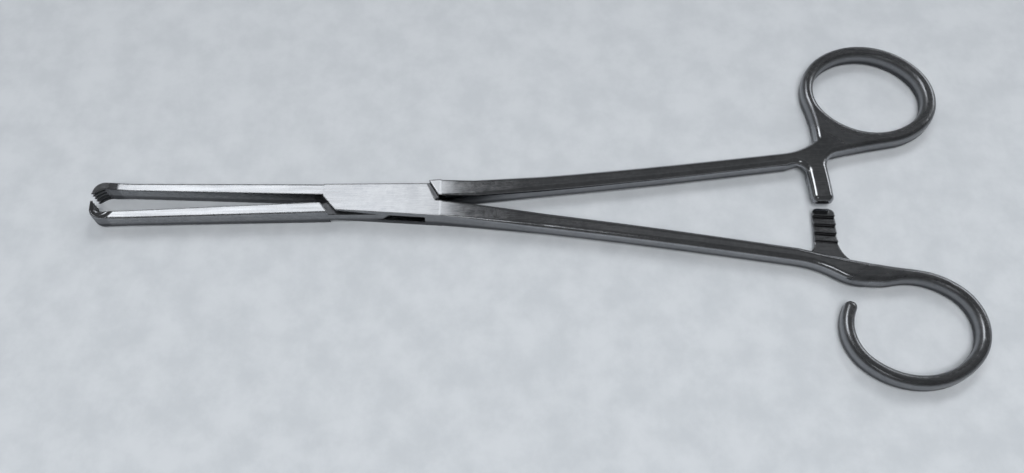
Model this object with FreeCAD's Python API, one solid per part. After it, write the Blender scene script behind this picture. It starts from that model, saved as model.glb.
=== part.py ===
import FreeCAD, Part
import math
import os

os.makedirs("parts", exist_ok=True)

V = FreeCAD.Vector
UP = V(0, 0, 1)

# Tonsil seizing forceps, ring handled, with a box lock. Millimetres, +Z up.
# The instrument lies flat. Its origin is where the pivot axis meets the table.
# +X runs from the pivot to the finger rings, and the clawed jaws point to -X.
# Each half is drawn with its jaw on the +Y side and its shank on the -Y side,
# in the half's own frame: both halves are in line with X when the jaws are parallel.
# The tongue half is then mirrored, and both are swung open to rest.

# Stock and stance
stock_thickness = 5.0
rest_opening = 4.2
shank_set = 1.2
mid_z = stock_thickness / 2

# Box lock
box_front_half_width = 3.35
box_rear_half_width = 4.1
box_front_x = 9.6
box_rear_x = 10.7
box_tip_x = 12.8
box_tip_y = 0.2
web_x = 10.5
plate_thickness = 1.25
tongue_clearance = 0.06
tongue_shoulder_x = 13.4
shoulder_slope_x = 1.9
shank_shoulder_inner_x = 13.5
shank_shoulder_outer_x = 11.35
tongue_waist_x = 0.5
side_flush = 0.05

# Lock pin
pin_radius = 1.45
pin_running_clearance = 0.04

# Jaws
jaw_length = 65.5
jaw_gap = 1.0
jaw_root_x = 11.0
jaw_end_width = 1.85
jaw_end_thickness = 3.9
jaw_edge_round = 0.4

# Claws
claw_thickness = 1.3
claw_tip_thickness = 0.5
claw_bend_radius = 2.8
claw_fan_length = 5.6
fan_x = jaw_length - claw_bend_radius
jaw_end_x = fan_x - claw_fan_length
box_claw_reach = 1.3
tongue_claw_reach = 3.0
box_fan_inset = 0.06
tongue_fan_inset = 0.4
prong_pitch = 1.1
box_prongs = 5
tongue_prongs = 4
prong_tip_width = 0.24
prong_flank_slope = 0.055
prong_depth = 2.75

# Shanks
shank_root_x = 13.6
shank_root_y = -2.15
shank_root_width = 4.1
shank_root_round = 0.3
shank_line_y = -1.75
shank_neck_x = 94.0
shank_neck_y = -8.9
shank_bow = 0.5
shank_width = 4.15
shank_neck_width = 3.5
ring_thickness = 4.2
shank_thickness = ring_thickness
round_share = 0.3
thin_share = 0.35
shank_round = 1.25
shank_steps = 10

# Finger rings
ring_mid_z = ring_thickness / 2
mouth_drop = 6.05
mouth_top_y = shank_neck_y - mouth_drop
closed_ring_reach = 22.95
closed_ring_drop = 18.0
closed_heel_reach = 8.0
closed_heel_drop = 5.2
open_ring_reach = 23.7
open_ring_drop = 15.9
open_heel_reach = 10.6
closed_ring = {
    "x": shank_neck_x + closed_ring_reach, "y": shank_neck_y - closed_ring_drop, "semi_x": 16.1, "semi_y": 14.25, "tilt": 8.0,
    "hole_shift_x": -0.25, "hole_semi_x": 13.05, "hole_semi_y": 11.0,
    "heel_x": shank_neck_x + closed_heel_reach, "heel_y": shank_neck_y - closed_heel_drop, "mouth": False,
    "arm_heel_round": 4.0,
}
open_ring = {
    "x": shank_neck_x + open_ring_reach, "y": shank_neck_y - open_ring_drop, "semi_x": 15.95, "semi_y": 13.55, "tilt": 8.0,
    "hole_shift_x": 0.0, "hole_semi_x": 13.15, "hole_semi_y": 10.75,
    "heel_x": shank_neck_x + open_heel_reach, "heel_y": mouth_top_y, "mouth": True,
    "arm_heel_round": 7.0,
}
oval_fullness = 1.02
neck_hollow_radius = 170.0
heel_side_radius = 37.0
heel_round = 1.2
mouth_width = 4.5
mouth_heel_round = 12.0
mouth_lip_round = 14.0
hook_tip_round = 1.34

# Ratchet arms
arm_setback = 4.6
arm_width = 5.0
arm_inner_radius = shank_neck_x + arm_setback
arm_outer_radius = arm_inner_radius + arm_width
box_arm_end_angle = 2.35
tongue_arm_end_angle = 1.45
arm_corner_round = 1.4
arm_root_round = 2.6
arm_reach = 6.0
foot_slope = 0.3
arm_sink = 1.0
ratchet_play = 0.2
tooth_pitch_angle = 1.23
tooth_first_angle = 1.2
tooth_count = 4
tooth_depth = 0.6

# Overlap of one solid into the next where they are one forging, and tool reaches
weld = 0.6
reach = 3 * jaw_length
seam_reach = 0.5
seam_tolerance = 0.01


# Plain helpers
def polygon_face(points, z=0.0):
    corners = [V(x, y, z) for x, y in points]
    return Part.Face(Part.makePolygon(corners + corners[:1]))


def prism(points, z_low, z_high):
    return polygon_face(points, z_low).extrude(UP * (z_high - z_low))


def side_prism(points):
    """A profile drawn in X and Z, pulled through the whole width in Y."""
    corners = [V(x, -reach, z) for x, z in points]
    return Part.Face(Part.makePolygon(corners + corners[:1])).extrude(V(0, 2 * reach, 0))


def edges_at(solid, z_levels, keep=None):
    """Edges that lie wholly on one of the given levels."""
    found = []
    for edge in solid.Edges:
        box = edge.BoundBox
        level = any(abs(box.ZMin - z) < 1e-4 and abs(box.ZMax - z) < 1e-4 for z in z_levels)
        if level and (keep is None or keep(edge)):
            found.append(edge)
    return found


def upright_edges(solid, y_low, y_high=None, x_low=0.0, x_high=math.inf, tolerance=0.01):
    """The upright edges that stand on one line across the plan, or within a band of it."""
    y_high = y_low if y_high is None else y_high
    found = []
    for edge in solid.Edges:
        box = edge.BoundBox
        upright = box.XLength < tolerance and box.YLength < tolerance and box.ZLength > tolerance
        inside = y_low - tolerance < box.Center.y < y_high + tolerance and x_low < box.Center.x < x_high
        if upright and inside:
            found.append(edge)
    return found


# Box lock: outlines in the half's own frame
def box_half_width(x):
    """Half the width of the lock, which widens from the jaws to the shanks."""
    share = (x + box_front_x) / (box_front_x + box_rear_x)
    return box_front_half_width + share * (box_rear_half_width - box_front_half_width)


def box_outline():
    return [
        (-box_tip_x, box_tip_y),
        (-box_front_x, -box_half_width(-box_front_x)),
        (shank_root_x + weld, -box_half_width(shank_root_x)),
        (shank_root_x + weld, -box_tip_y),
        (box_tip_x, -box_tip_y),
        (box_rear_x, box_half_width(box_rear_x)),
        (-box_tip_x, box_half_width(-box_tip_x)),
    ]


def mortise_outline():
    """The passage for the tongue, open to both sides and closed by two webs."""
    slope = (box_tip_x - web_x) / (box_half_width(web_x) - box_tip_y)
    far_x = web_x - slope * (reach - box_half_width(web_x))
    return [
        (-box_tip_x, box_tip_y),
        (-reach, box_tip_y),
        (-reach, -reach),
        (far_x, -reach),
        (box_tip_x, -box_tip_y),
        (reach, -box_tip_y),
        (reach, reach),
        (-far_x, reach),
    ]


def tongue_outline():
    """The thin middle of the tongue half, from shoulder to shoulder across the lock."""
    return [
        (-tongue_shoulder_x - weld, jaw_gap / 2),
        (-tongue_shoulder_x - weld, box_half_width(-tongue_shoulder_x) - side_flush),
        (tongue_waist_x, box_half_width(tongue_waist_x) - side_flush),
        (shank_shoulder_inner_x + weld, -box_tip_y),
        (shank_shoulder_inner_x + weld, -box_half_width(shank_shoulder_inner_x) + side_flush),
        (-tongue_waist_x, -box_half_width(-tongue_waist_x) + side_flush),
    ]


def shank_shoulder_outline():
    """Where the tongue half comes up to full thickness behind the lock."""
    return [
        (shank_shoulder_inner_x, -box_tip_y),
        (shank_root_x + weld, -box_tip_y),
        (shank_root_x + weld, -box_half_width(shank_root_x)),
        (shank_shoulder_outer_x, -box_half_width(shank_shoulder_outer_x)),
    ]


# Jaw and claw
def outer_rim(solid, outward, least):
    """The edges between the two broad faces and the side that looks outward."""
    found = []
    for edge in solid.Edges:
        normals = []
        for face in solid.ancestorsOfType(edge, Part.Face):
            u_low, u_high, v_low, v_high = face.ParameterRange
            normals.append(face.normalAt((u_low + u_high) / 2, (v_low + v_high) / 2))
        broad = any(abs(normal.z) > 0.9 for normal in normals)
        if broad and any(normal.dot(outward) > least for normal in normals):
            found.append(edge)
    return found


def jaw_edges():
    """Inner side of the jaw, and its outer side where the arm ends and where the claw bends."""
    inner = jaw_gap / 2
    outer_root = box_half_width(-jaw_root_x)
    outer_bend = inner + jaw_end_width
    slope = (outer_root - outer_bend) / (fan_x - jaw_root_x)
    return inner, outer_bend + slope * claw_fan_length, outer_bend, slope


def make_jaw(root_points, claw_reach, prongs, fan_inset):
    inner, outer_end, outer_bend, slope = jaw_edges()
    tip_y = inner - claw_reach
    fan_low = fan_inset
    fan_high = stock_thickness - fan_inset
    lean = math.atan(slope)
    bend_start = V(-fan_x, outer_bend, 0)
    centre = bend_start - V(-math.sin(lean), math.cos(lean), 0) * claw_bend_radius
    half_turn = (math.pi / 2 - lean) / 2 + lean
    bend_middle = centre + V(-math.sin(half_turn), math.cos(half_turn), 0) * claw_bend_radius
    outer_side = centre - V(claw_bend_radius, 0, 0)
    tip_outer = V(-jaw_length, tip_y, 0)
    tip_inner = V(-jaw_length + claw_tip_thickness, tip_y, 0)
    inner_side = V(outer_side.x + claw_thickness, min(inner, centre.y + claw_thickness) - claw_thickness / 2, 0)
    inner_foot = V(-fan_x + claw_thickness, inner, 0)
    inner_mid = (inner_side + inner_foot) * 0.5 + V(-0.3, 0.3, 0)
    edges = [
        Part.makeLine(V(-jaw_end_x, outer_end, 0), bend_start),
        Part.Arc(bend_start, bend_middle, outer_side).toShape(),
        Part.makeLine(outer_side, tip_outer),
        Part.makeLine(tip_outer, tip_inner),
        Part.makeLine(tip_inner, inner_side),
        Part.Arc(inner_side, inner_mid, inner_foot).toShape(),
        Part.makeLine(inner_foot, V(-jaw_end_x, inner, 0)),
        Part.makeLine(V(-jaw_end_x, inner, 0), V(-jaw_end_x, outer_end, 0)),
    ]
    claw = Part.Face(Part.Wire(Part.__sortEdges__(edges))).extrude(UP * stock_thickness)
    low_end = mid_z - jaw_end_thickness / 2
    high_end = mid_z + jaw_end_thickness / 2
    fan = side_prism([
        (-jaw_end_x, low_end), (-fan_x, fan_low), (-jaw_length - weld, fan_low),
        (-jaw_length - weld, fan_high), (-fan_x, fan_high), (-jaw_end_x, high_end),
    ])
    claw = claw.common(fan)
    arm = prism(
        root_points + [(-jaw_end_x, outer_end), (-jaw_end_x, inner)],
        0, stock_thickness)
    arm = arm.common(side_prism([
        (-box_front_x + weld, 0), (-jaw_root_x, 0), (-jaw_end_x, low_end),
        (-jaw_end_x, high_end), (-jaw_root_x, stock_thickness), (-box_front_x + weld, stock_thickness),
    ]))
    jaw = arm.fuse(claw).removeSplitter()
    jaw = jaw.makeFillet(jaw_edge_round, outer_rim(jaw, V(-math.sqrt(0.5), math.sqrt(0.5), 0), 0.5))
    return jaw.cut(Part.Compound(prong_notches(tip_y, prongs)))


def prong_notches(tip_y, prongs):
    """V-sided notches between the prongs, and one beyond each outer prong."""
    notches = []
    first = mid_z - prongs * prong_pitch / 2
    top_y = tip_y + prong_depth
    for index in range(prongs + 1):
        z = first + index * prong_pitch
        tip_half = (prong_pitch - prong_tip_width) / 2
        root_half = tip_half - prong_flank_slope * prong_depth
        corners = [
            V(-reach, tip_y - weld, z - tip_half - prong_flank_slope * weld),
            V(-reach, tip_y - weld, z + tip_half + prong_flank_slope * weld),
            V(-reach, top_y, z + root_half),
            V(-reach, top_y, z - root_half),
        ]
        face = Part.Face(Part.makePolygon(corners + corners[:1]))
        notches.append(face.extrude(V(reach - fan_x, 0, 0)))
    return notches


# Shank: rounded sections lofted along a slightly bowed line
def shank_station(share, set_angle):
    """Centre, direction, width, thickness and edge round at a share of the shank."""
    run = shank_neck_x - shank_root_x
    rise = shank_neck_y - shank_line_y
    x = shank_root_x + share * run
    y = shank_line_y + share * rise + shank_bow * math.sin(math.pi * share)
    slope = rise / run + shank_bow * math.pi / run * math.cos(math.pi * share)
    blend = min(1.0, share / round_share)
    level = mid_z + share * (ring_mid_z - mid_z)
    width = shank_width + share * (shank_neck_width - shank_width)
    thickness = stock_thickness + min(1.0, share / thin_share) * (shank_thickness - stock_thickness)
    edge_round = shank_root_round + blend * (shank_round - shank_root_round)
    place = turn_point(V(x, y, level), set_angle)
    heading = math.atan(slope) + math.radians(set_angle)
    if share == 0:
        place = V(shank_root_x, shank_root_y, level)
        width = shank_root_width
    return place, heading, width, thickness, edge_round


def turn_point(point, degrees):
    angle = math.radians(degrees)
    return V(point.x * math.cos(angle) - point.y * math.sin(angle),
             point.x * math.sin(angle) + point.y * math.cos(angle), point.z)


def rounded_section(place, heading, width, thickness, edge_round):
    """A rectangle with round corners, square to the heading."""
    across = V(-math.sin(heading), math.cos(heading), 0)
    a = width / 2
    b = thickness / 2
    diagonal = edge_round * (1 - math.sqrt(0.5))

    def at(side, up):
        return place + across * side + UP * up

    edges = []
    corners = [(1, 1), (-1, 1), (-1, -1), (1, -1)]
    for index, (side, up) in enumerate(corners):
        next_side, next_up = corners[(index + 1) % 4]
        on_side = at(side * a, up * (b - edge_round))
        on_top = at(side * (a - edge_round), up * b)
        middle = at(side * (a - diagonal), up * (b - diagonal))
        first, last = (on_side, on_top) if side * up > 0 else (on_top, on_side)
        edges.append(Part.Arc(first, middle, last).toShape())
        if next_up == up:
            edges.append(Part.makeLine(last, at(next_side * (a - edge_round), up * b)))
        else:
            edges.append(Part.makeLine(last, at(side * a, next_up * (b - edge_round))))
    return Part.Wire(edges)


def make_shank(set_angle):
    wires = [rounded_section(*shank_station(index / shank_steps, set_angle)) for index in range(shank_steps + 1)]
    return Part.makeLoft(wires, True, True)


# Finger rings
def oval_arcs(x, y, semi_x, semi_y, tilt):
    """Four arcs that meet in tangents, with the given half length and half width."""
    end_radius = semi_y * semi_y / semi_x * oval_fullness
    centre_x = semi_x - end_radius
    side_radius = (centre_x ** 2 + semi_y ** 2 - end_radius ** 2) / (2 * (semi_y - end_radius))
    side_centre = side_radius - semi_y
    share = side_radius / (side_radius - end_radius)
    meet_x = centre_x * share
    meet_y = side_centre * (share - 1)

    def at(px, py):
        return turn_point(V(px, py, 0), tilt) + V(x, y, 0)

    return [
        Part.Arc(at(meet_x, -meet_y), at(semi_x, 0), at(meet_x, meet_y)),
        Part.Arc(at(meet_x, meet_y), at(0, semi_y), at(-meet_x, meet_y)),
        Part.Arc(at(-meet_x, meet_y), at(-semi_x, 0), at(-meet_x, -meet_y)),
        Part.Arc(at(-meet_x, -meet_y), at(0, -semi_y), at(meet_x, -meet_y)),
    ]


def oval_face(x, y, semi_x, semi_y, tilt):
    return Part.Face(Part.Wire([arc.toShape() for arc in oval_arcs(x, y, semi_x, semi_y, tilt)]))


def blend_into(ring, outside, radius, side):
    """A hollow arc from an outside point that runs into the ring's outer side in a tangent: its touch and middle."""
    for arc in oval_arcs(ring["x"], ring["y"], ring["semi_x"], ring["semi_y"], ring["tilt"]):
        edge = arc.toShape()
        circle = edge.Curve
        away = outside - circle.Center
        centres = circle.Radius + radius
        turn = math.acos((centres ** 2 + away.Length ** 2 - radius ** 2) / (2 * centres * away.Length))
        angle = math.atan2(away.y, away.x) + side * turn
        ray = V(math.cos(angle), math.sin(angle), 0)
        touch = circle.Center + ray * circle.Radius
        if edge.distToShape(Part.Vertex(touch))[0] < 1e-4:
            blend_centre = circle.Center + ray * centres
            middle = (touch + outside) * 0.5 - blend_centre
            middle.normalize()
            return touch, blend_centre + middle * radius
    raise ValueError("no tangent from that point")


def neck_ends(ring):
    """The two sides of the shank's end section, where the neck of the ring starts."""
    place, heading, width, thickness, edge_round = shank_station(1.0, 0.0)
    across = V(-math.sin(heading), math.cos(heading), 0)
    start = V(place.x, place.y, 0)
    return start + across * (width / 2), start - across * (width / 2), across, heading


def ring_plan(ring):
    """The ring and its neck, seen from above, with no arm."""
    inner_side, outer_side, across, heading = neck_ends(ring)
    heel = V(ring["heel_x"], ring["heel_y"], 0)
    centre = V(ring["x"], ring["y"], 0)
    touch_top, hollow_mid = blend_into(ring, inner_side, neck_hollow_radius, -1)
    touch_left, heel_side_mid = blend_into(ring, heel, heel_side_radius, 1)
    chord = heel - outer_side
    lean = heading - math.atan2(chord.y, chord.x)
    chord_normal = V(-chord.y, chord.x, 0)
    chord_normal.normalize()
    flare_mid = outer_side + chord * 0.5 + chord_normal * (chord.Length / 2 * math.tan(lean / 2))
    neck = Part.Face(Part.Wire([
        Part.Arc(outer_side, flare_mid, heel).toShape(),
        Part.Arc(heel, heel_side_mid, touch_left).toShape(),
        Part.makeLine(touch_left, centre),
        Part.makeLine(centre, touch_top),
        Part.Arc(touch_top, hollow_mid, inner_side).toShape(),
        Part.makeLine(inner_side, outer_side),
    ]))
    outer = oval_face(ring["x"], ring["y"], ring["semi_x"], ring["semi_y"], ring["tilt"])
    hole = oval_face(ring["x"] + ring["hole_shift_x"], ring["y"], ring["hole_semi_x"], ring["hole_semi_y"],
                     ring["tilt"])
    plan = outer.fuse(neck).removeSplitter().cut(hole)
    if ring["mouth"]:
        plan = plan.cut(polygon_face([
            (shank_neck_x, mouth_top_y), (ring["x"], mouth_top_y),
            (ring["x"], mouth_top_y - mouth_width), (shank_neck_x, mouth_top_y - mouth_width),
        ]))
    return plan


def arm_plan(end_angle):
    """The ratchet arm, seen from above, with its root inside the neck."""
    root_angle = math.degrees(math.asin((shank_neck_y - arm_sink) / arm_inner_radius))
    middle_angle = (root_angle + end_angle) / 2
    return Part.Face(Part.Wire([
        Part.Arc(polar(arm_inner_radius, root_angle), polar(arm_inner_radius, middle_angle),
                 polar(arm_inner_radius, end_angle)).toShape(),
        Part.makeLine(polar(arm_inner_radius, end_angle), polar(arm_outer_radius, end_angle)),
        Part.Arc(polar(arm_outer_radius, end_angle), polar(arm_outer_radius, middle_angle),
                 polar(arm_outer_radius, root_angle)).toShape(),
        Part.makeLine(polar(arm_outer_radius, root_angle), polar(arm_inner_radius, root_angle)),
    ]))


def rounded_ring(ring, end_angle=None):
    """The plan raised to the ring's thickness, its corners eased and its rims rounded."""
    inner_side, outer_side, across, heading = neck_ends(ring)
    solid = ring_plan(ring).extrude(UP * ring_thickness).Solids[0]
    if end_angle is not None:
        solid = solid.fuse(arm_plan(end_angle).extrude(UP * ring_thickness)).removeSplitter().Solids[0]
    if end_angle is not None:
        tip_y = polar(arm_inner_radius, end_angle).y
        solid = solid.makeFillet(arm_corner_round, upright_edges(solid, tip_y - weld, tip_y + weld))
        root_top = tip_y - arm_corner_round - weld
        middle_radius = (arm_inner_radius + arm_outer_radius) / 2
        solid = solid.makeFillet(arm_root_round, upright_edges(solid, outer_side.y, root_top,
                                                               arm_inner_radius - weld, middle_radius))
        solid = solid.makeFillet(ring["arm_heel_round"], upright_edges(solid, outer_side.y, root_top,
                                                                       middle_radius, arm_outer_radius + weld))
    if ring["mouth"]:
        past_heel = ring["heel_x"] + weld
        solid = solid.makeFillet(mouth_heel_round, upright_edges(solid, mouth_top_y, x_high=past_heel))
        solid = solid.makeFillet(mouth_lip_round, upright_edges(solid, mouth_top_y, x_low=past_heel))
        solid = solid.makeFillet(hook_tip_round, upright_edges(solid, mouth_top_y - mouth_width))
    else:
        solid = solid.makeFillet(heel_round, upright_edges(solid, ring["heel_y"]))
    seam = (inner_side + outer_side) * 0.5

    def off_the_seam(edge):
        middle = edge.BoundBox.Center
        return math.hypot(middle.x - seam.x, middle.y - seam.y) > seam_reach

    return solid.makeFillet(shank_round, edges_at(solid, [0.0, ring_thickness], off_the_seam))


# Ratchet arm: concentric with the pivot, in the lower half of the thickness
def polar(radius, degrees):
    angle = math.radians(degrees)
    return V(radius * math.cos(angle), radius * math.sin(angle), 0)


def make_ratchet_arm(ring, end_angle):
    """The lower half of an arm that is rounded into the neck, with saw teeth cut in its top."""
    crest_z = ring_mid_z - ratchet_play / 2
    inner_side, outer_side, across, heading = neck_ends(ring)
    middle = (inner_side + outer_side) * 0.5
    near_x = arm_inner_radius - arm_root_round - weld
    far_x = arm_outer_radius + arm_reach
    block = prism([
        (near_x, middle.y - foot_slope * (near_x - middle.x)), (far_x, middle.y - foot_slope * (far_x - middle.x)),
        (far_x, reach), (near_x, reach),
    ], 0, crest_z)
    arm = rounded_ring(ring, end_angle).common(block)
    run = arm_inner_radius * math.radians(tooth_pitch_angle)
    start = arm_inner_radius - weld
    width = arm_outer_radius - arm_inner_radius + 2 * weld
    cuts = []
    for index in range(tooth_count):
        corners = [V(start, 0, crest_z), V(start, run, crest_z - tooth_depth),
                   V(start, run, crest_z + weld), V(start, 0, crest_z + weld)]
        ramp = Part.Face(Part.makePolygon(corners + corners[:1])).extrude(V(width, 0, 0))
        ramp.rotate(V(0, 0, 0), UP, tooth_first_angle - index * tooth_pitch_angle)
        cuts.append(ramp)
    last = tooth_first_angle - (tooth_count - 1) * tooth_pitch_angle
    floor = Part.makeBox(width + 2 * arm_reach, reach, weld + tooth_depth,
                         V(start - arm_reach, -reach, crest_z - tooth_depth))
    floor.rotate(V(0, 0, 0), UP, last)
    return arm.cut(Part.Compound(cuts + [floor]))


# The two halves and the pin
def make_shank_group(set_angle, ring, arm):
    group = rounded_ring(ring).fuse(arm)
    group.rotate(V(0, 0, 0), UP, set_angle)
    return make_shank(set_angle).fuse([group], seam_tolerance)


def make_box_half():
    block = prism(box_outline(), 0, stock_thickness)
    mortise = prism(mortise_outline(), plate_thickness, stock_thickness - plate_thickness)
    jaw = make_jaw([(-box_tip_x, jaw_gap / 2), (-jaw_root_x, box_half_width(-jaw_root_x))],
                   box_claw_reach, box_prongs, box_fan_inset)
    arm = make_ratchet_arm(open_ring, box_arm_end_angle)
    half = block.cut(mortise).fuse([jaw, make_shank_group(-shank_set, open_ring, arm)])
    half = half.cut(Part.makeCylinder(pin_radius, stock_thickness)).removeSplitter()
    half.rotate(V(0, 0, 0), UP, -rest_opening / 2)
    return half


def make_tongue_half():
    tongue = prism(tongue_outline(), plate_thickness + tongue_clearance,
                   stock_thickness - plate_thickness - tongue_clearance)
    shoulder = prism(shank_shoulder_outline(), 0, stock_thickness)
    jaw_shoulder = -tongue_shoulder_x + shoulder_slope_x
    jaw = make_jaw([(-tongue_shoulder_x, jaw_gap / 2), (jaw_shoulder, box_half_width(jaw_shoulder))],
                   tongue_claw_reach, tongue_prongs, tongue_fan_inset)
    arm = make_ratchet_arm(closed_ring, tongue_arm_end_angle).mirror(V(0, 0, ring_mid_z), UP)
    half = tongue.fuse([jaw, shoulder, make_shank_group(shank_set, closed_ring, arm)])
    half = half.cut(Part.makeCylinder(pin_radius + pin_running_clearance, stock_thickness)).removeSplitter()
    half = half.mirror(V(0, 0, 0), V(0, 1, 0))
    half.rotate(V(0, 0, 0), UP, rest_opening / 2)
    return half


def make_lock_pin():
    return Part.makeCylinder(pin_radius, stock_thickness)


def export(name, shape):
    solid = shape.Solids[0] if len(shape.Solids) == 1 else shape
    print(name, "solids", len(shape.Solids), "valid", solid.isValid(), "volume", round(solid.Volume, 1))
    solid.exportStep(os.path.join("parts", name + ".step"))


export("box_half", make_box_half())
export("tongue_half", make_tongue_half())
export("lock_pin", make_lock_pin())
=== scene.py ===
import logging
import math
from dataclasses import dataclass, field
from enum import Enum
from typing import Any

import bmesh
import bpy
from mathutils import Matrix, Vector


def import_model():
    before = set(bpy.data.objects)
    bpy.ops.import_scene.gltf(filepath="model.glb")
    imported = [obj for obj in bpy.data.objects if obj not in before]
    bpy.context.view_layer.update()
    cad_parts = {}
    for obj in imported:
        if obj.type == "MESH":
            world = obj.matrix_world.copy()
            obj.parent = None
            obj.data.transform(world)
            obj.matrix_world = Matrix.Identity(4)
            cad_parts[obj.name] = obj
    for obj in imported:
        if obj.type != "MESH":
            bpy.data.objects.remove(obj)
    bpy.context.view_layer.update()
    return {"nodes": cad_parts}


# The forceps lies flat on a pale table under soft studio light. Everything is in metres, in the part's own
# frame: the lock pin stands at the origin, the clawed jaws point to -X and the finger rings lie to +X.

frame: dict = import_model()
NOISE_MIDDLE = 0.5

log = logging.getLogger("forceps")

Span = tuple[float, float]
Colour = tuple[float, float, float]
Triple = tuple[float, float, float]


class Marks(Enum):
    """Kinds of noise: lumps per metre, octaves, and how strong the small octaves are."""

    HAIRS = (260.0, 3.0, 0.65)
    STREAKS = (70.0, 2.0, 0.5)
    MOTTLE = (900.0, 3.0, 0.6)
    CLOUDS = (170.0, 3.0, 0.55)
    HANDLING = (60.0, 2.0, 0.5)
    CARD = (115.0, 5.0, 0.6)


class Value:
    """One number that changes over a surface, with Python's arithmetic."""

    def __init__(self, shader: "Shader", socket: bpy.types.NodeSocket) -> None:
        """Keeps the socket that gives the number, and the tree it belongs to."""
        self.shader = shader
        self.socket = socket

    def _with(self, operation: str, *others: Any) -> "Value":
        """Adds one Math node.

        Args:
            operation: The Math node's operation.
            others: Numbers or values, in the order of the node's sockets.

        Returns:
            The node's result.
        """
        made = self.shader.node("ShaderNodeMath", {"operation": operation}, dict(enumerate(others)))
        return Value(self.shader, made.outputs[0])

    def __add__(self, other: Any) -> "Value":
        """The sum."""
        return self._with("ADD", self, other)

    __radd__ = __add__

    def __sub__(self, other: Any) -> "Value":
        """The difference."""
        return self._with("SUBTRACT", self, other)

    def __rsub__(self, other: Any) -> "Value":
        """The difference, the other way round."""
        return self._with("SUBTRACT", other, self)

    def __mul__(self, other: Any) -> "Value":
        """The product."""
        return self._with("MULTIPLY", self, other)

    __rmul__ = __mul__

    def __truediv__(self, other: Any) -> "Value":
        """The ratio."""
        return self._with("DIVIDE", self, other)

    def at_least(self, low: Any) -> "Value":
        """The larger of this and another value."""
        return self._with("MAXIMUM", self, low)

    def at_most(self, high: Any) -> "Value":
        """The smaller of this and another value."""
        return self._with("MINIMUM", self, high)

    def size(self) -> "Value":
        """The value without its sign."""
        return self._with("ABSOLUTE", self)

    def root(self) -> "Value":
        """The square root."""
        return self._with("SQRT", self)

    def rise(self, low: float, high: float) -> "Value":
        """A smooth step.

        Args:
            low: Where the step leaves 0.
            high: Where it reaches 1. It may be below low, for a step that falls.

        Returns:
            0 to 1.
        """
        first, last = sorted((low, high))
        made = self.shader.node(
            "ShaderNodeMapRange",
            {"interpolation_type": "SMOOTHSTEP"},
            {"Value": self, "From Min": first, "From Max": last, "To Min": 0.0, "To Max": 1.0},
        )
        step = Value(self.shader, made.outputs[0])
        return step if low < high else 1.0 - step


@dataclass
class Shader:
    """A node tree, and the one way in which nodes are added to it."""

    tree: bpy.types.NodeTree

    def node(self, kind: str, settings: dict | None = None, inputs: dict | None = None) -> bpy.types.Node:
        """Adds a node.

        Args:
            kind: The node's type.
            settings: Its own properties, set before its sockets.
            inputs: Numbers, colours, sockets or values by socket name or place.

        Returns:
            The node.
        """
        made = self.tree.nodes.new(kind)
        for name, setting in (settings or {}).items():
            setattr(made, name, setting)
        for key, given in (inputs or {}).items():
            self.feed(made.inputs[key], given)
        return made

    def feed(self, socket: bpy.types.NodeSocket, given: Any) -> None:
        """Sets a socket to a number or colour, or links it.

        Args:
            socket: The input socket.
            given: A number, a colour or vector of three numbers, another socket or a Value.
        """
        if isinstance(given, Value):
            given = given.socket
        if isinstance(given, bpy.types.NodeSocket):
            self.tree.links.new(given, socket)
        elif socket.type == "RGBA":
            socket.default_value = (*given, 1.0)
        else:
            socket.default_value = given

    def axes(self, vector: Any) -> tuple[Value, Value, Value]:
        """The three parts of a vector socket."""
        parts = self.node("ShaderNodeSeparateXYZ", {}, {0: vector})
        return Value(self, parts.outputs[0]), Value(self, parts.outputs[1]), Value(self, parts.outputs[2])

    def vector_maths(self, operation: str, *others: Any) -> bpy.types.Node:
        """Adds a Vector Math node on one or two vector sockets."""
        return self.node("ShaderNodeVectorMath", {"operation": operation}, dict(enumerate(others)))

    def noise(self, place: Any, marks: Marks) -> Value:
        """Cloudy noise.

        Args:
            place: The vector socket that it reads.
            marks: Which kind of noise.

        Returns:
            About 0 to 1, mostly near 0.5.
        """
        scale, detail, roughness = marks.value
        made = self.node(
            "ShaderNodeTexNoise",
            {"noise_dimensions": "3D"},
            {"Vector": place, "Scale": scale, "Detail": detail, "Roughness": roughness},
        )
        return Value(self, made.outputs[0])

    def stretched(self, place: Any, scale: Triple) -> Any:
        """A vector socket with each axis scaled."""
        made = self.node("ShaderNodeMapping", {"vector_type": "POINT"}, {"Vector": place, "Scale": scale})
        return made.outputs[0]

    def blend(self, share: Any, first: Any, second: Any) -> Any:
        """A colour socket between two colours or colour sockets, by a share from 0 to 1."""
        made = self.node("ShaderNodeMix", {"data_type": "RGBA"}, {0: share, 6: first, 7: second})
        return made.outputs[2]

    @classmethod
    def fresh(cls, owner: bpy.types.Material | bpy.types.World) -> "Shader":
        """Empties the node tree of a material or world.

        Args:
            owner: The material or world.

        Returns:
            Its empty tree, ready for nodes.
        """
        owner.use_nodes = True
        owner.node_tree.nodes.clear()
        return cls(owner.node_tree)


@dataclass(frozen=True)
class Oval:
    """The middle line of a finger ring, seen from above."""

    x: float
    y: float
    half_length: float
    half_width: float
    turn: float

    def radius(self, shader: Shader, place: Any) -> Value:
        """How far out a point is, measured so that the middle of the ring's band is 1.

        Args:
            shader: The tree that the nodes go to.
            place: The Object coordinate socket.

        Returns:
            Below 1 inside the band's middle line, above 1 outside it.
        """
        centred = shader.node(
            "ShaderNodeMapping",
            {"vector_type": "TEXTURE"},
            {
                "Vector": place,
                "Location": (self.x, self.y, 0.0),
                "Rotation": (0.0, 0.0, self.turn),
                "Scale": (self.half_length, self.half_width, 1.0),
            },
        )
        flat = shader.vector_maths("MULTIPLY", centred.outputs[0], (1.0, 1.0, 0.0))
        return Value(shader, shader.vector_maths("LENGTH", flat.outputs[0]).outputs["Value"])


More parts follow.
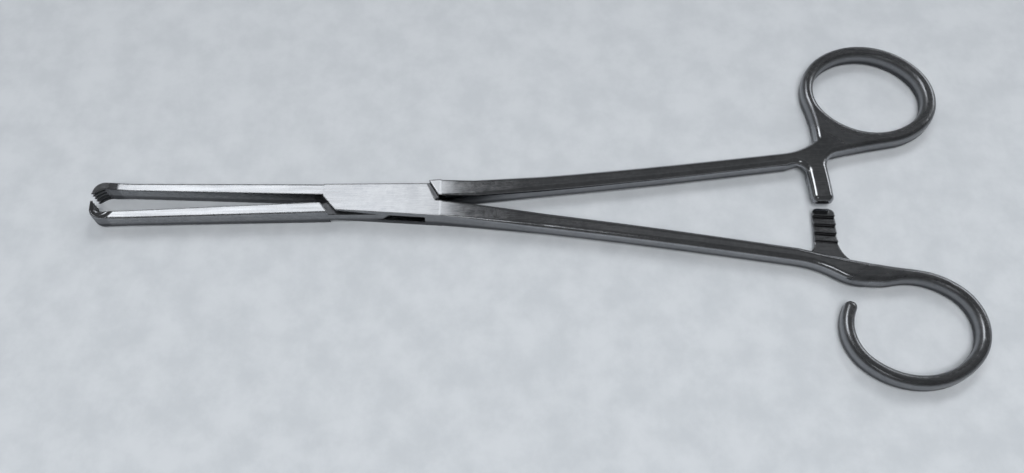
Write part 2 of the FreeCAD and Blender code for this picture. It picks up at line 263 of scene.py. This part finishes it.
@dataclass(frozen=True)
class SteelFinish:
    """Stainless steel: belt-ground at the jaws and lock, polished along the shanks, tumbled at the rings.

    Lengths are in metres, and places are measured from the lock pin. A pair of numbers says where a zone
    begins and where it is complete.
    """

    name: str
    ring: Oval | None = None

    # Colours of the worn steel, of the less worn steel, and of the dark colour laid over them as painted
    # shade and as the rings' tumbled skin.
    colour: Colour = (0.465, 0.473, 0.487)
    shade: Colour = (0.335, 0.343, 0.36)
    skin_and_painted_shade: Colour = (0.07, 0.072, 0.078)
    wear: Span = (0.36, 0.62)
    hair_wear: float = 0.45
    mottle_wear: float = 0.25
    cloud_wear: float = 0.3
    edge_wear: float = 0.2

    # Roughness of each state, what the marks add to it, and its limits.
    satin: float = 0.27
    satin_hairs: float = 0.24
    satin_streaks: float = 0.16
    polish: float = 0.1
    polish_hairs: float = 0.05
    handling_matt: float = 0.05
    tumbled: float = 0.24
    tumbled_hairs: float = 0.08
    scoured: float = 0.4
    rim_matt: float = 0.2
    mottle_matt: float = 0.1
    cloud_matt: float = 0.06
    recess_matt: float = 0.2
    claw_matt: float = 0.2
    claw_gloss: float = 0.1
    edge_gloss: float = 0.05
    glossiest: float = 0.08
    mattest: float = 0.6

    # Grinding marks run along the pieces. The relief is the height of a full hairline in metres.
    grain: Triple = (1.0, 26.0, 26.0)
    relief: float = 0.0000035
    polished_away: float = 0.7
    streak_relief: float = 0.4
    mottle_relief: float = 0.25
    polished_zone: Span = (-0.014, 0.0145)
    handled: Span = (0.4, 0.7)

    # Broken edges, and the lid of the pin, whose edge is ground flush.
    edge_break: float = 0.0004
    edge_rays: int = 6
    edge_turn: Span = (0.004, 0.06)
    pin_radius: float = 0.00145
    pin_lid: Span = (1.5, 1.4)

    # Painted shade on the sides, their feet, the claws and the rims; the band's darker top is partly
    # tumbled skin.
    side_painted_shade: float = 0.32
    polished_side_painted_shade: float = 0.08
    foot_painted_shadow: float = 0.58
    claw_painted_shade: float = 0.25
    band_skin_and_shade: float = 0.22
    rim_painted_shade: float = 0.5
    side_cover: float = 0.85
    darkening_even: float = 0.85
    darkening_clouds: float = 0.3
    recess_shade_even: float = 0.3
    recess_shade_mottle: float = 0.8
    upright: Span = (0.8, 0.2)
    not_below: Span = (-0.98, -0.8)
    foot_height: Span = (0.0025, 0.0013)

    # The ring's band, as shares of the radius of its middle line, and the place where the neck joins it.
    neck: Span = (0.1, 0.108)
    band_outside: Span = (1.34, 1.22)
    outer_rim: Span = (1.03, 1.08)
    outer_share: float = 0.6
    inner_rim: Span = (0.975, 0.93)
    inner_share: float = 0.3
    opening: Span = (0.93, 0.895)

    # The tops turn down into the claws. The slant follows the oblique bend of the lower claw.
    claw_from: float = 0.0592
    claw_slant: float = 0.0
    slant_y: float = -0.0027
    claw_zone: Span = (0.0, 0.0006)
    claw_tip: Span = (-0.0614, -0.0622)
    turn_length: float = 0.0009
    turn_curve: float = 78.0
    claw_fall: float = 0.14
    claw_curve: float = 24.0

    # The rounded lip of the lower claw: its middle line is an arc about this place.
    lip_x: float = -0.06262
    lip_y: float = -0.00185
    lip_middle: float = 0.00215
    lip_crown: float = 0.0
    lip_zone: Span = (0.0, 0.003)

    # The crease where the shank leaves the lock's plate.
    plate_end: float = 0.0136
    plate_ease: float = 0.006
    shank_slope: float = 0.0195

    # The lock's sunk faces and walls, darkened as painted shade, as distances from the middle of its
    # thickness or from the pin.
    mid_height: float = 0.0025
    lock_reach: Span = (0.0152, 0.0148)
    sunk_depth: Span = (0.0016, 0.0014)
    sunk_level: Span = (0.6, 0.8)
    end_wall_turn: Span = (0.35, 0.5)
    end_wall_from: Span = (0.008, 0.0085)
    crotch_depth: Span = (0.0014, 0.00125)
    crotch_width: Span = (0.0031, 0.0028)

    def material(self) -> bpy.types.Material:
        """Builds the material.

        Returns:
            A node material on Object coordinates.
        """
        material = bpy.data.materials.new(self.name)
        Steelwork(self, Shader.fresh(material)).build()
        return material


class Steelwork:
    """The nodes of one steel finish. Its colour, gloss and relief share the same zones and marks."""

    def __init__(self, finish: SteelFinish, shader: Shader) -> None:
        """Adds the marks and the zones.

        Args:
            finish: The sizes and strengths.
            shader: The tree that the nodes go to.
        """
        self.finish = finish
        self.shader = shader
        coordinates = shader.node("ShaderNodeTexCoord")
        place = coordinates.outputs["Object"]
        self.x, self.y, self.z = shader.axes(place)
        self.normal = shader.axes(coordinates.outputs["Normal"])

        brushed = shader.stretched(place, finish.grain)
        self.hairs = shader.noise(brushed, Marks.HAIRS)
        self.streaks = shader.noise(brushed, Marks.STREAKS)
        self.mottle = shader.noise(place, Marks.MOTTLE)
        self.clouds = shader.noise(place, Marks.CLOUDS)
        self.handling = shader.noise(place, Marks.HANDLING)

        self.polished = self.x.rise(*finish.polished_zone)
        slant = (self.y - finish.slant_y) * finish.claw_slant
        self.past_bend = (self.x * -1.0 - finish.claw_from + slant).at_least(0.0)
        self.claw = self.past_bend.rise(*finish.claw_zone)
        self.side = self.normal[2].rise(*finish.upright) * self.normal[2].rise(*finish.not_below)
        self.recess_shade = self.find_recess_shade()
        self.band = self.rim = self.inside = 0.0
        if finish.ring is not None:
            out = finish.ring.radius(shader, place)
            outside = out.rise(*finish.band_outside)
            self.band = outside.at_least(self.x.rise(*finish.neck))
            outer = out.rise(*finish.outer_rim) * outside
            inner = out.rise(*finish.inner_rim)
            self.rim = self.band * (outer * finish.outer_share + inner * finish.inner_share)
            self.inside = out.rise(*finish.opening)
        self.edge, self.eased_normal = self.find_edges()

    def find_recess_shade(self) -> Value:
        """Where painted shade darkens the lock's recesses.

        Returns:
            1 on the tongue's sunk faces and on the end walls beside them, 0 on every ground face.
        """
        finish = self.finish
        depth = (self.z - finish.mid_height).size()
        reach = self.x.size()
        sunk_shade = depth.rise(*finish.sunk_depth) * self.normal[2].size().rise(*finish.sunk_level)
        end_wall = self.normal[0].size().rise(*finish.end_wall_turn) * reach.rise(*finish.end_wall_from)
        crotch = depth.rise(*finish.crotch_depth) * self.y.size().rise(*finish.crotch_width)
        return reach.rise(*finish.lock_reach) * sunk_shade.at_least(end_wall).at_least(crotch)

    def find_edges(self) -> tuple[Value, Any]:
        """Finds the broken edges, and leaves the flush pin's edge sharp.

        Returns:
            1 on the broken edges, and the normal that rounds them.
        """
        finish, shader = self.finish, self.shader
        bevel = shader.node("ShaderNodeBevel", {"samples": finish.edge_rays}, {"Radius": finish.edge_break})
        rounded = bevel.outputs[0]
        true_normal = shader.node("ShaderNodeNewGeometry").outputs["Normal"]
        facing = Value(shader, shader.vector_maths("DOT_PRODUCT", rounded, true_normal).outputs["Value"])
        lid = ((finish.pin_radius * share) ** 2 for share in finish.pin_lid)
        flush = (self.x * self.x + self.y * self.y).rise(*lid)
        edge = (1.0 - facing).rise(*finish.edge_turn) * (1.0 - flush)
        choice = {0: flush, 4: rounded, 5: true_normal}
        eased = shader.node("ShaderNodeMix", {"data_type": "VECTOR"}, choice)
        return edge, eased.outputs[1]

    def roughness(self) -> Value:
        """Mixes the satin, polished and tumbled states.

        Returns:
            The roughness.
        """
        finish = self.finish
        hairs, streaks, mottle, clouds = (
            marks - NOISE_MIDDLE for marks in (self.hairs, self.streaks, self.mottle, self.clouds)
        )
        satin = finish.satin + hairs * finish.satin_hairs + streaks * finish.satin_streaks
        handled = self.handling.rise(*finish.handled)
        polish = finish.polish + handled * finish.handling_matt + hairs * finish.polish_hairs
        state = satin * (1.0 - self.polished) + polish * self.polished
        tumbled = finish.tumbled + (finish.scoured - finish.tumbled) * self.inside
        tumbled = tumbled + hairs * finish.tumbled_hairs + self.rim * finish.rim_matt
        state = state + (tumbled - state) * self.band
        state = state + mottle * finish.mottle_matt + clouds * finish.cloud_matt
        state = state + self.recess_shade * finish.recess_matt - self.edge * finish.edge_gloss
        state = state + self.x.rise(*finish.claw_tip) * finish.claw_matt - self.claw * finish.claw_gloss
        return state.at_least(finish.glossiest).at_most(finish.mattest)

    def colour(self) -> Any:
        """Lays painted shade and the rings' tumbled skin over the worn steel.

        Returns:
            A colour socket.
        """
        finish = self.finish
        wear = self.hairs * finish.hair_wear + self.mottle * finish.mottle_wear
        wear = wear + self.clouds * finish.cloud_wear
        bright = (wear.rise(*finish.wear) + self.edge * finish.edge_wear).at_most(1.0)
        clean = self.shader.blend(bright, finish.shade, finish.colour)
        # Painted contact shadow: the feet of the sides are darkened where the part meets the table.
        foot_shadow = self.side * self.z.rise(*finish.foot_height)
        # Painted shade: the sides, which reflect the shaded table beside them, are darkened, more so where
        # polished.
        darkening = self.side * (finish.side_painted_shade + self.polished * finish.polished_side_painted_shade)
        # Adds the painted contact shadow at the feet, and painted shade on the claws, whose sloping tops
        # reflect a dark part of the room.
        darkening = darkening + foot_shadow * finish.foot_painted_shadow + self.claw * finish.claw_painted_shade
        # The ring band's tops are darkened, partly for their tumbled finish and partly as painted shade
        # that dims their reflections; the sides are spared.
        top = 1.0 - self.side * finish.side_cover
        # Painted shade on the rings' rims dims their highlights.
        darkening = darkening + (self.band * finish.band_skin_and_shade + self.rim * finish.rim_painted_shade) * top
        # Varies the painted shade and the rings' skin at random with the clouds.
        darkening = darkening * (finish.darkening_even + self.clouds * finish.darkening_clouds)
        # Painted shade in the lock's recesses: sunk faces, end walls and crotch.
        sunk_shade = self.recess_shade * (finish.recess_shade_even + self.mottle * finish.recess_shade_mottle)
        # Blends the worn steel towards the dark colour by the painted shade and the rings' tumbled skin.
        return self.shader.blend(sunk_shade.at_least(darkening).at_most(1.0), clean, finish.skin_and_painted_shade)

    def height(self) -> Value:
        """Adds up the fine marks, the turn into the claw, its lip and the crease at the lock's plate.

        Returns:
            The height in metres.
        """
        finish, past_bend = self.finish, self.past_bend
        marks = self.hairs * (1.0 - self.polished * finish.polished_away)
        marks = marks + self.streaks * finish.streak_relief + self.mottle * finish.mottle_relief
        turning = past_bend.at_most(finish.turn_length)
        bend = turning * turning * finish.turn_curve + (past_bend - turning) * finish.claw_fall
        bend = bend + past_bend * past_bend * finish.claw_curve
        across, along = self.x - finish.lip_x, (self.y - finish.lip_y).at_most(0.0)
        lip = (across * across + along * along).root() - finish.lip_middle
        crown = lip * lip * past_bend.rise(*finish.lip_zone) * finish.lip_crown
        eased = (self.x - finish.plate_end).at_least(0.0).at_most(finish.plate_ease)
        crease = (eased - eased * eased * (0.5 / finish.plate_ease)) * finish.shank_slope
        return marks * finish.relief + bend + crease - crown

    def build(self) -> None:
        """Joins colour, gloss and relief in one steel shader."""
        shader = self.shader
        relief = {"Strength": 1.0, "Distance": 1.0, "Height": self.height(), "Normal": self.eased_normal}
        bump = shader.node("ShaderNodeBump", {}, relief)
        steel = shader.node(
            "ShaderNodeBsdfPrincipled",
            {},
            {
                "Base Color": self.colour(),
                "Metallic": 1.0,
                "Roughness": self.roughness(),
                "Normal": bump.outputs[0],
            },
        )
        shader.node("ShaderNodeOutputMaterial", {}, {"Surface": steel.outputs[0]})


@dataclass(frozen=True)
class TableFinish:
    """Smooth pale grey-blue card, faintly mottled, with painted shade that darkens it towards the far side.
    """

    name: str = "pale_table"
    light: Colour = (0.685, 0.72, 0.758)
    dark: Colour = (0.6, 0.636, 0.674)
    # Colour of the painted shade at the far side, and where it fades in.
    far_shade: Colour = (0.4, 0.42, 0.45)
    mottled: Span = (0.3, 0.7)
    shade_falloff: Span = (-0.08, 0.34)
    roughness: float = 0.85

    def material(self) -> bpy.types.Material:
        """Builds the material.

        Returns:
            A matt node material on Object coordinates.
        """
        material = bpy.data.materials.new(self.name)
        shader = Shader.fresh(material)
        place = shader.node("ShaderNodeTexCoord").outputs["Object"]
        y = shader.axes(place)[1]
        near = shader.blend(shader.noise(place, Marks.CARD).rise(*self.mottled), self.dark, self.light)
        # Painted shade: the card darkens towards the far side, where less lamp light falls.
        colour = shader.blend(y.rise(*self.shade_falloff), near, self.far_shade)
        matt = {"Base Color": colour, "Roughness": self.roughness}
        card = shader.node("ShaderNodeBsdfPrincipled", {}, matt)
        shader.node("ShaderNodeOutputMaterial", {}, {"Surface": card.outputs[0]})
        return material


@dataclass(frozen=True)
class Patch:
    """A patch of light on a ceiling one metre above the part. Each pair of numbers is one soft border."""

    strength: float
    sides: tuple[Span, ...]
    depths: tuple[Span, ...]

    def light(self, side: Value, depth: Value) -> Value:
        """How bright the patch is.

        Args:
            side: Metres to the right on the ceiling.
            depth: Metres to the back on the ceiling.

        Returns:
            0 outside the patch, up to its strength inside.
        """
        bright = 1.0
        for axis, borders in ((side, self.sides), (depth, self.depths)):
            for border in borders:
                bright = bright * axis.rise(*border)
        return bright * self.strength


WALL_DEPTHS = ((0.24, 0.38), (0.84, 0.64))


@dataclass(frozen=True)
class Room:
    """The room that the steel reflects: dim, with a paler band low down and a few bright patches above.

    The wall's left part is brighter than the rest of it, so it has a patch of its own on top.
    """

    tint: Colour = (0.95, 0.975, 1.0)
    dim: float = 0.095
    low_band: float = 0.2
    low_band_top: Span = (0.38, 0.2)
    horizon: Span = (0.05, 0.2)
    lowest: float = 0.03
    wall: Patch = Patch(1.56, ((-0.03, -0.085), (-0.75, -0.56)), WALL_DEPTHS)
    wall_left: Patch = Patch(1.44, ((-0.03, -0.085), (-0.11, -0.3), (-0.75, -0.56)), WALL_DEPTHS)
    strip: Patch = Patch(2.4, ((-0.24, -0.14), (-0.05, -0.12)), ((-0.3, -0.42), (-0.85, -0.65)))
    window: Patch = Patch(1.5, ((0.85, 1.05), (3.0, 2.4)), ((0.65, 0.85), (2.6, 2.1)))
    beam: Patch = Patch(0.06, ((0.0, 0.1), (0.7, 0.35)), ((0.3, 0.42), (0.66, 0.5)))
    door: Patch = Patch(1.5, ((-1.0, -1.15), (-1.9, -1.6)), ((0.4, 0.5), (0.75, 0.62)))

    def build(self) -> None:
        """Builds the world and gives it to the scene."""
        world = bpy.data.worlds.new("studio")
        shader = Shader.fresh(world)
        x, y, z = shader.axes(shader.node("ShaderNodeTexCoord").outputs["Generated"])
        height = z.at_least(self.lowest)
        side, depth = x / height, y / height
        patches = (self.wall, self.wall_left, self.strip, self.window, self.beam, self.door)
        bright = sum(patch.light(side, depth) for patch in patches)
        level = self.dim + z.rise(*self.low_band_top) * self.low_band + z.rise(*self.horizon) * bright
        sky = shader.node("ShaderNodeBackground", {}, {"Color": self.tint, "Strength": level})
        shader.node("ShaderNodeOutputWorld", {}, {"Surface": sky.outputs[0]})
        bpy.context.scene.world = world
        log.info("room built")


@dataclass
class ForgedPiece:
    """One forged or turned piece that keeps its shape from the frame and gets its finish here."""

    node: str
    finish: SteelFinish

    def dress(self) -> bpy.types.Object:
        """Puts the finish on the piece.

        Returns:
            The dressed object.
        """
        piece = frame["nodes"][self.node]
        steel = self.finish.material()
        for slot in piece.material_slots:
            slot.material = steel
        log.info("%s dressed in %s", self.node, self.finish.name)
        return piece


@dataclass
class SoftLamp:
    """A square soft lamp that looks at the part. The steel doesn't show it."""

    name: str
    place: Triple
    side: float
    power: float
    aim: Triple = (0.03, 0.0, 0.0)

    def build(self) -> None:
        """Hangs the lamp."""
        lamp = bpy.data.lights.new(self.name, "AREA")
        lamp.shape = "SQUARE"
        lamp.size = self.side
        lamp.energy = self.power
        holder = bpy.data.objects.new(self.name, lamp)
        holder.location = self.place
        holder.rotation_mode = "QUATERNION"
        holder.rotation_quaternion = (Vector(self.aim) - Vector(self.place)).to_track_quat("-Z", "Y")
        holder.visible_glossy = False
        bpy.context.collection.objects.link(holder)
        log.info("%s hung", self.name)


@dataclass
class Studio:
    """Table, lamps and the room around them."""

    table_half: float = 4.0
    table: TableFinish = field(default_factory=TableFinish)
    key_lamp: SoftLamp = field(default_factory=lambda: SoftLamp("key_lamp", (0.3, 0.7, 0.9), 0.35, 2.8))
    top_lamp: SoftLamp = field(default_factory=lambda: SoftLamp("top_lamp", (0.05, -0.45, 1.2), 0.7, 9.7))
    room: Room = field(default_factory=Room)

    def lay_table(self) -> None:
        """Makes the table top under the part."""
        shape = bmesh.new()
        bmesh.ops.create_grid(shape, x_segments=1, y_segments=1, size=self.table_half)
        mesh = bpy.data.meshes.new("table_top")
        shape.to_mesh(mesh)
        shape.free()
        mesh.materials.append(self.table.material())
        top = bpy.data.objects.new("table_top", mesh)
        bpy.context.collection.objects.link(top)
        log.info("table laid")

    def build(self) -> None:
        """Builds table, lamps and room."""
        self.lay_table()
        self.key_lamp.build()
        self.top_lamp.build()
        self.room.build()


@dataclass
class Viewpoint:
    """The camera, above the near side of the part."""

    place: Triple = (0.02924, -0.10561, 0.19246)
    forward: Triple = (0.00357, 0.45398, -0.89101)
    lens: float = 33.40
    sensor: float = 36.0
    nearest: float = 0.005
    farthest: float = 20.0

    def build(self) -> None:
        """Makes the camera and gives it to the scene."""
        camera = bpy.data.cameras.new("photo_camera")
        camera.lens = self.lens
        camera.sensor_width = self.sensor
        camera.clip_start = self.nearest
        camera.clip_end = self.farthest
        holder = bpy.data.objects.new("photo_camera", camera)
        holder.location = self.place
        holder.rotation_mode = "QUATERNION"
        holder.rotation_quaternion = Vector(self.forward).to_track_quat("-Z", "Y")
        bpy.context.collection.objects.link(holder)
        bpy.context.scene.camera = holder
        log.info("camera set")


def main() -> None:
    """Dresses the part, lays it on its table and sets the camera."""
    logging.basicConfig(level=logging.INFO, format="%(name)s: %(message)s")
    bpy.context.scene.view_settings.view_transform = "Standard"
    Viewpoint().build()
    closed_ring = Oval(x=0.1165, y=0.0287, half_length=0.0146, half_width=0.0126, turn=math.radians(-7.1))
    open_ring = Oval(x=0.1161, y=-0.0315, half_length=0.01455, half_width=0.01215, turn=math.radians(4.7))
    box_steel = SteelFinish("box_half_steel", ring=open_ring)
    tongue_steel = SteelFinish(
        "tongue_half_steel",
        ring=closed_ring,
        claw_from=0.059,
        claw_slant=0.865,
        claw_matt=0.0,
        lip_crown=420.0,
    )
    pin_steel = SteelFinish("lock_pin_steel", satin=0.285)
    pieces = [
        ForgedPiece("box_half", box_steel),
        ForgedPiece("tongue_half", tongue_steel),
        ForgedPiece("lock_pin", pin_steel),
    ]
    for piece in pieces:
        piece.dress()
    Studio().build()


if __name__ == "__main__":
    main()
